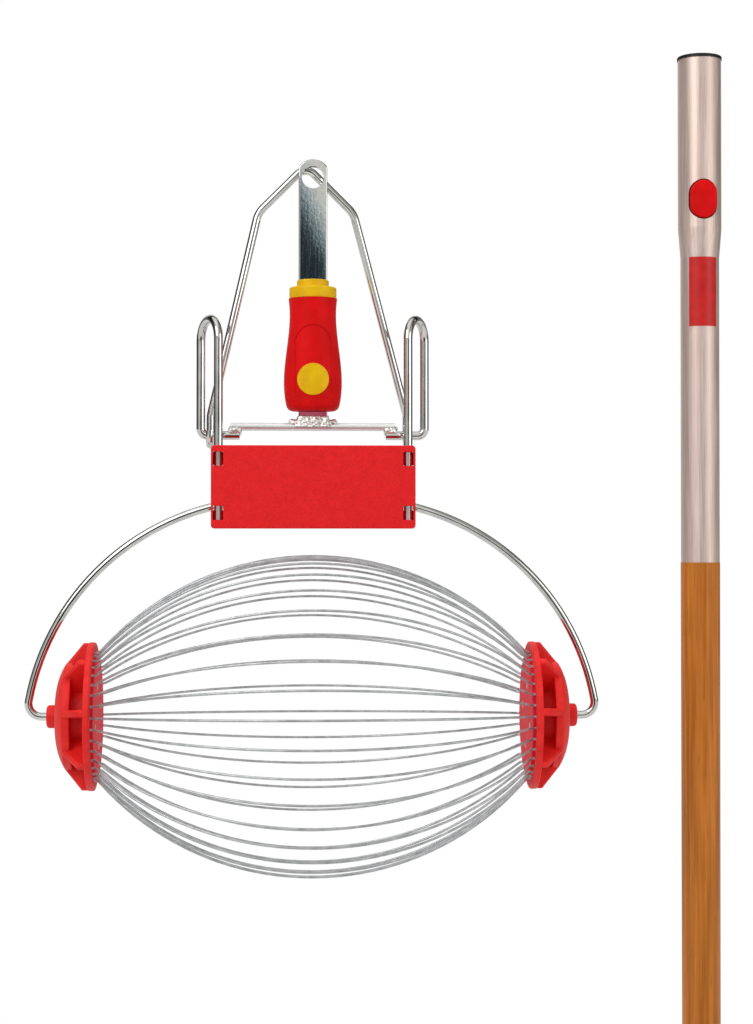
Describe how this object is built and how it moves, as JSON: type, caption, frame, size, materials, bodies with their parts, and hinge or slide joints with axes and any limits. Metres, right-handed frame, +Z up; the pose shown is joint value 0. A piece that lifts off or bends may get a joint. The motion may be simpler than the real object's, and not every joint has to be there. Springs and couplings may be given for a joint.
{
  "type": "fruit picker",
  "caption": "Rolling fruit picker: a barrel cage of spring wires turns in a wire fork under a red cover plate, with a grip, plug-in tang, emptying bail and a pole with a release button.",
  "frame": {"origin": "centre of the tang's round hole, in the middle of the tang's thickness; the head hangs by this hole", "axes": "+Z up along the grip and the pole, X along the roller's axle, the front faces -Y"},
  "size_m": [0.5018, 0.2229, 1.4],
  "materials": {
    "zinc_plated_steel": "bright zinc on cold-rolled flat bar",
    "chromed_wire": "bright chrome on drawn steel wire",
    "weld_metal": "plated weld bead",
    "spring_wire": "dull galvanised spring steel",
    "red_plastic": "moulded, satin",
    "red_grained_plastic": "moulded with a fine leather grain",
    "yellow_plastic": "moulded, satin",
    "black_plastic": "moulded, satin",
    "anodised_aluminium": "champagne, satin anodised",
    "lacquered_wood": "clear lacquer on straight-grained ash",
    "red_film": "printed film, plain red",
    "screw_steel": "zinc plated"
  },
  "bodies": {
    "frame": {"tang": "zinc_plated_steel", "grip": "red_plastic", "grip_collar": "yellow_plastic", "grip_badge": "yellow_plastic", "cross_bar": "chromed_wire", "tang_weld": "weld_metal", "left_side_loop": "chromed_wire", "right_side_loop": "chromed_wire", "bar_welds": "weld_metal", "cover_plate": "red_grained_plastic", "fork": "chromed_wire", "fork_welds": "weld_metal", "left_axle_clip": "screw_steel", "right_axle_clip": "screw_steel"},
    "roller": {"left_end_cap": "red_plastic", "right_end_cap": "red_plastic", "left_wire_disc": "red_plastic", "right_wire_disc": "red_plastic", "disc_screws": "screw_steel", "cage_wires": "spring_wire"},
    "bail": {"emptying_bail": "chromed_wire"},
    "pole": {"pole_shaft": "lacquered_wood", "pole_sleeve": "anodised_aluminium", "mouth_ring": "black_plastic", "socket_insert": "black_plastic", "sleeve_pins": "screw_steel", "label_patch": "red_film", "lever_pivot_pin": "screw_steel", "button_spring": "screw_steel"},
    "button": {"release_lever": "red_plastic"}
  },
  "joints": [
    {"name": "roller_spin", "type": "hinge", "parent": "frame", "child": "roller", "pos_m": [0, -0.01995, -0.3744], "axis": [1, 0, 0], "continuous": true},
    {"name": "emptying_bail_swing", "type": "hinge", "parent": "frame", "child": "bail", "pos_m": [0, 0, -0.1806], "axis": [-1, 0, 0], "range_deg": [0, 135]},
    {"name": "pole_lift", "type": "slide", "parent": "frame", "child": "pole", "axis": [0, 0, 1], "range_m": [0, 0.3]},
    {"name": "release_button", "type": "hinge", "parent": "pole", "child": "button", "pos_m": [0.288, 0.0684, 0.0124], "axis": [1, 0, 0], "range_deg": [0, 9], "stiffness_Nm_per_rad": 1.2, "springref_deg": -8.59, "deforming": ["button_spring"]}
  ]
}
